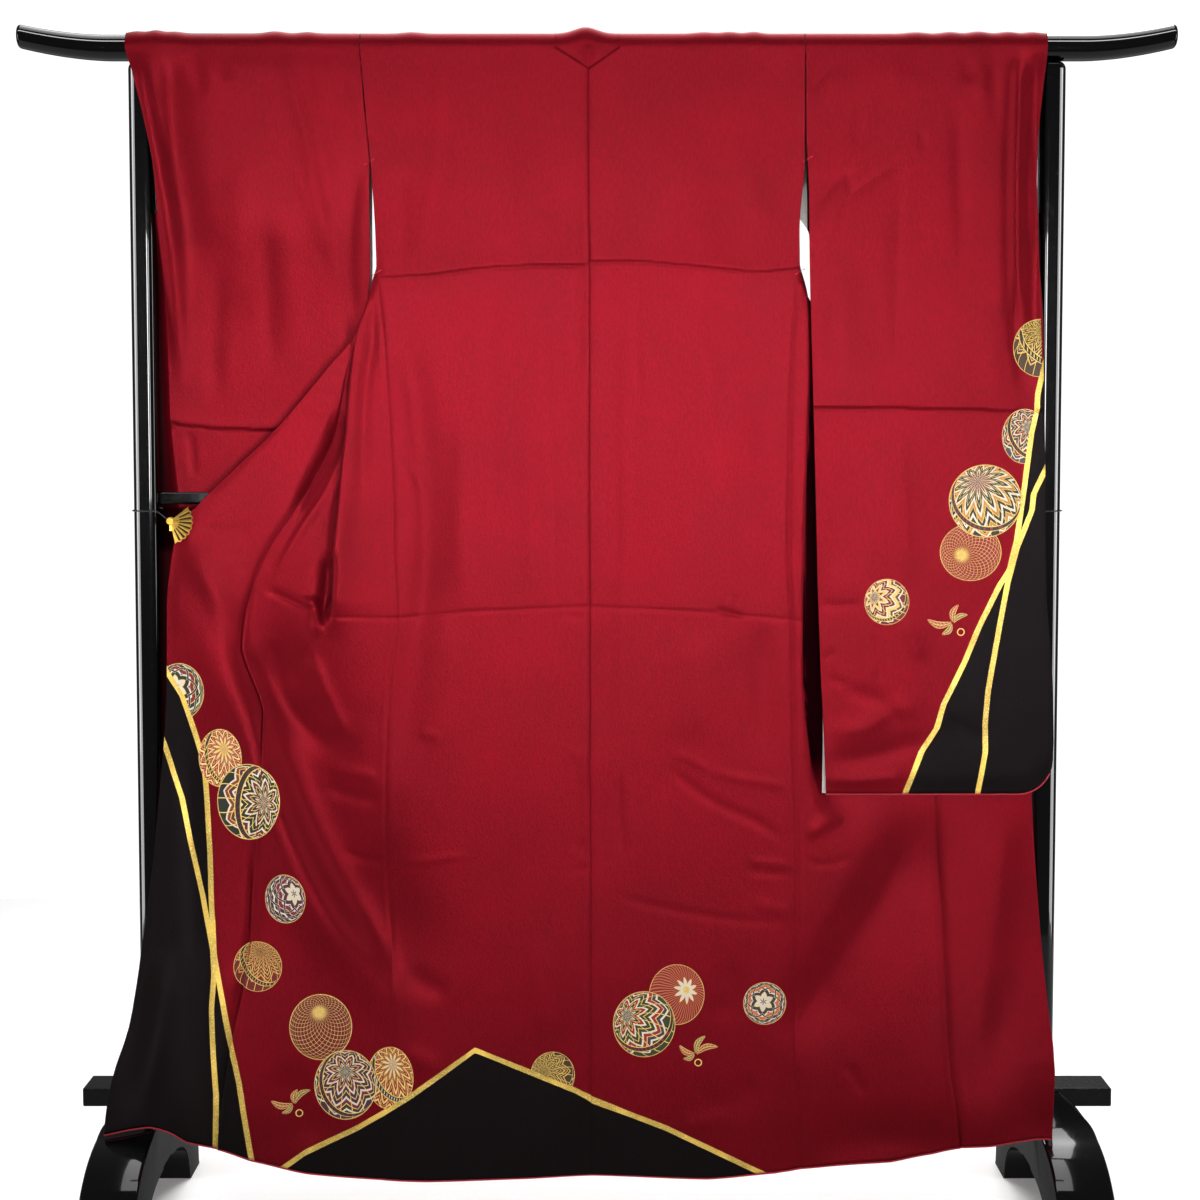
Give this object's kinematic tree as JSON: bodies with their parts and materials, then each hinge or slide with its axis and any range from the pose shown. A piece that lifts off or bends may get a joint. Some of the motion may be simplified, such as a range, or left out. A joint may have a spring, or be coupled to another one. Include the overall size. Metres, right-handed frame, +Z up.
{
  "type": "furisode on a kimono stand",
  "caption": "Long-sleeved red formal kimono hung over the bar of a free-standing black lacquered stand, back to the viewer, front edges clipped out to the posts.",
  "frame": {"origin": "on the floor, in the middle of the stand", "axes": "+X along the bar to the right of someone who looks at the garment's back, +Y away from them, +Z up"},
  "size_m": [1.644, 0.536, 1.7313],
  "materials": {
    "silk": "red silk crepe with dyed and gold motifs",
    "lacquer": "black gloss lacquer on wood",
    "gilt": "gilt metal",
    "cord": "thin dark cord"
  },
  "bodies": {
    "root": {"body_left": "silk", "body_right": "silk", "okumi_left": "silk", "okumi_right": "silk", "sleeve_left": "silk", "sleeve_right": "silk", "collar_neck": "silk", "collar_left": "silk", "collar_right": "silk", "top_bar": "lacquer", "post_left": "lacquer", "post_right": "lacquer", "rail_middle": "lacquer", "rail_lower": "lacquer", "foot_left": "lacquer", "foot_right": "lacquer", "clip_fan": "gilt", "clip_plain": "gilt", "cord_left": "cord", "cord_right": "cord"}
  },
  "joints": []
}
